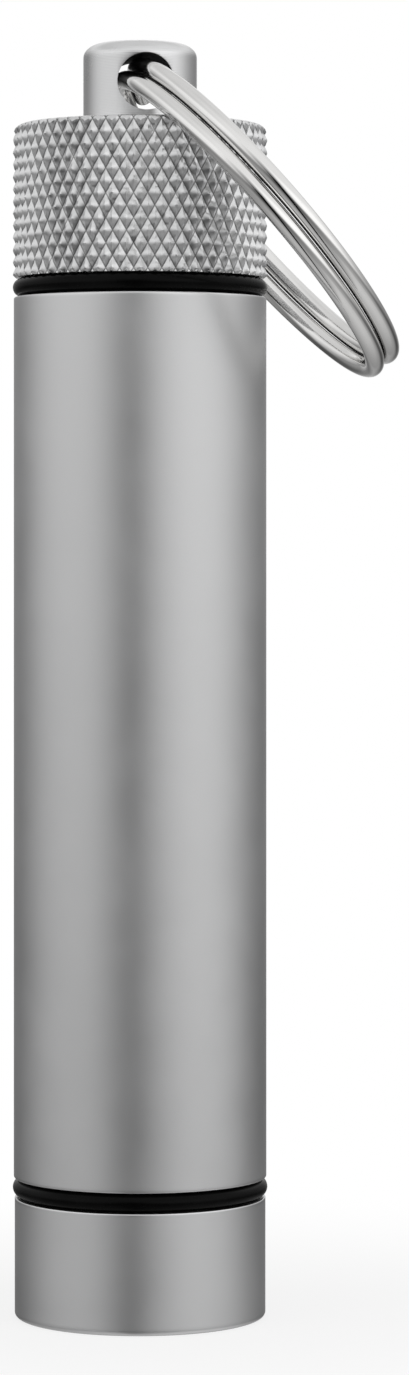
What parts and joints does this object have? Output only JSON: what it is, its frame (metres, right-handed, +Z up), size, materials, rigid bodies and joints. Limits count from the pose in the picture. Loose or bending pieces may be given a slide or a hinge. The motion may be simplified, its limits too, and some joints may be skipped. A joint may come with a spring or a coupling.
{
  "type": "storage tube keychain",
  "caption": "Slim metal storage tube with screw caps sealed by O-rings, a knurled grip with a drilled post, and a split ring to hang it from keys.",
  "frame": {"origin": "centre of the lower cap's flat base, on the tube's axis", "axes": "+Z up along the tube's axis, +X towards the side that the key ring hangs on, Y along the cross hole"},
  "size_m": [0.0306, 0.0316, 0.1007],
  "materials": {
    "satin_aluminium": "bead blasted and clear anodised, satin",
    "black_rubber": "moulded, slightly glossy",
    "polished_nickel": "polished nickel plate on spring steel"
  },
  "bodies": {
    "bottom_cap": {"bottom_cap": "satin_aluminium"},
    "lower_seal": {"lower_o_ring": "black_rubber"},
    "tube": {"tube_body": "satin_aluminium"},
    "upper_seal": {"upper_o_ring": "black_rubber"},
    "top_cap": {"top_cap": "satin_aluminium"},
    "key_ring": {"split_ring": "polished_nickel"}
  },
  "joints": [
    {"name": "top_cap_lift", "type": "slide", "parent": "tube", "child": "upper_seal", "axis": [0, 0, 1], "range_m": [0, 0.012]},
    {"name": "top_cap_turn", "type": "hinge", "parent": "upper_seal", "child": "top_cap", "pos_m": [0, 0, 0.08215], "axis": [0, 0, 1], "range_deg": [0, 2880]},
    {"name": "bottom_cap_turn", "type": "hinge", "parent": "bottom_cap", "child": "lower_seal", "pos_m": [0, 0, 0.00945], "axis": [0, 0, 1], "range_deg": [0, 2880]},
    {"name": "bottom_cap_lift", "type": "slide", "parent": "lower_seal", "child": "tube", "axis": [0, 0, 1], "range_m": [0, 0.012]},
    {"name": "key_ring_swing", "type": "hinge", "parent": "top_cap", "child": "key_ring", "pos_m": [0, 0, 0.09735], "axis": [0, -1, 0], "range_deg": [0, 255]}
  ],
  "couplings": [
    {"joint": "top_cap_lift", "follows": "top_cap_turn", "m_per_rad": 0.00023873},
    {"joint": "bottom_cap_lift", "follows": "bottom_cap_turn", "m_per_rad": 0.00023873}
  ]
}
